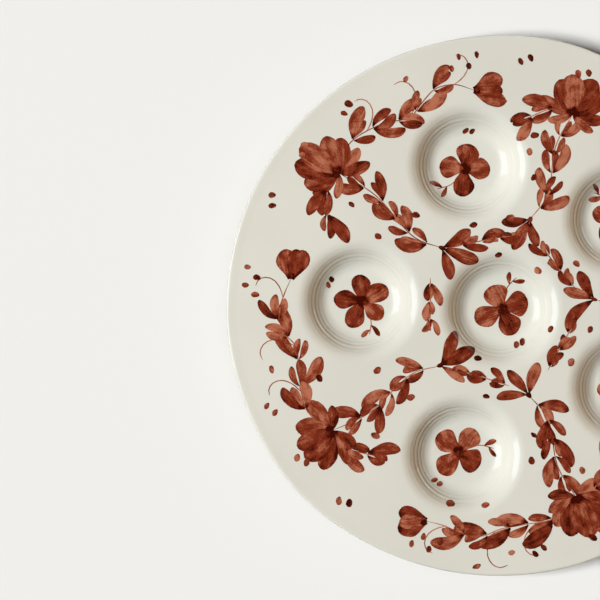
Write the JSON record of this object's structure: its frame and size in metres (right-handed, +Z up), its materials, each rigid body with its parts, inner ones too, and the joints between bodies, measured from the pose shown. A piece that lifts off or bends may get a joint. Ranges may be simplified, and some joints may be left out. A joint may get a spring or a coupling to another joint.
{
  "type": "seder plate",
  "caption": "Round glazed ceramic seder plate with a flat deck, round wells sunk into it for the ritual foods, and a foot ring underneath.",
  "frame": {"origin": "centre of the plate on the plane that it stands on", "axes": "+Z up out of the plate's face, +X to its right and +Y to its top as seen from above"},
  "size_m": [0.35, 0.35, 0.0238],
  "materials": {
    "slab_clay": "fired earthenware, bare",
    "cup_clay": "fired earthenware, bare",
    "foot_clay": "fired earthenware, wiped bare",
    "ivory_glaze": "glossy ivory glaze"
  },
  "bodies": {
    "root": {"deck_slab": "slab_clay", "centre_cup": "cup_clay", "upper_right_cup": "cup_clay", "upper_cup": "cup_clay", "left_cup": "cup_clay", "lower_cup": "cup_clay", "lower_right_cup": "cup_clay", "foot_ring": "foot_clay", "glaze_coat": "ivory_glaze"}
  },
  "joints": []
}
